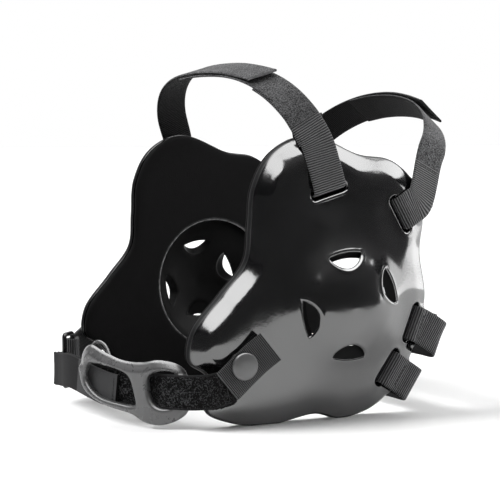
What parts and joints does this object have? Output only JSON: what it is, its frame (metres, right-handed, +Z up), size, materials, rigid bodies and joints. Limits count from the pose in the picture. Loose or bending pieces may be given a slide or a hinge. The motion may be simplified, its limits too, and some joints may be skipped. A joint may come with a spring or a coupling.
{
  "type": "wrestling head guard",
  "caption": "Wrestling ear guard: lobed padded ear shells with vented domes and foam liners, joined by crown, nape and chin straps with a moulded chin cup.",
  "frame": {"origin": "centre of the bounding box on the floor the guard stands on", "axes": "+X to the wearer's left, -Y to the face, +Z up"},
  "size_m": [0.1794, 0.2132, 0.1898],
  "materials": {
    "shell": "glossy black vinyl skin over foam",
    "liner": "matt black closed-cell foam",
    "webbing": "ribbed dark webbing",
    "pile": "coarse black loop pile",
    "moulded": "satin dark moulded plastic",
    "snap": "satin dark painted cap"
  },
  "bodies": {
    "root": {"shell_left": "shell", "shell_right": "shell", "liner_left": "liner", "liner_right": "liner", "front_crown_strap_left": "webbing", "front_crown_strap_right": "webbing", "rear_crown_strap_left": "webbing", "rear_crown_strap_right": "webbing", "upper_nape_strap_left": "webbing", "upper_nape_strap_right": "webbing", "lower_nape_strap_left": "webbing", "lower_nape_strap_right": "webbing", "chin_snap_left": "snap", "chin_snap_right": "snap", "chin_tab_left": "webbing", "chin_tab_right": "webbing", "chin_ring": "moulded", "chin_strap": "pile", "chin_cup": "moulded"}
  },
  "joints": []
}
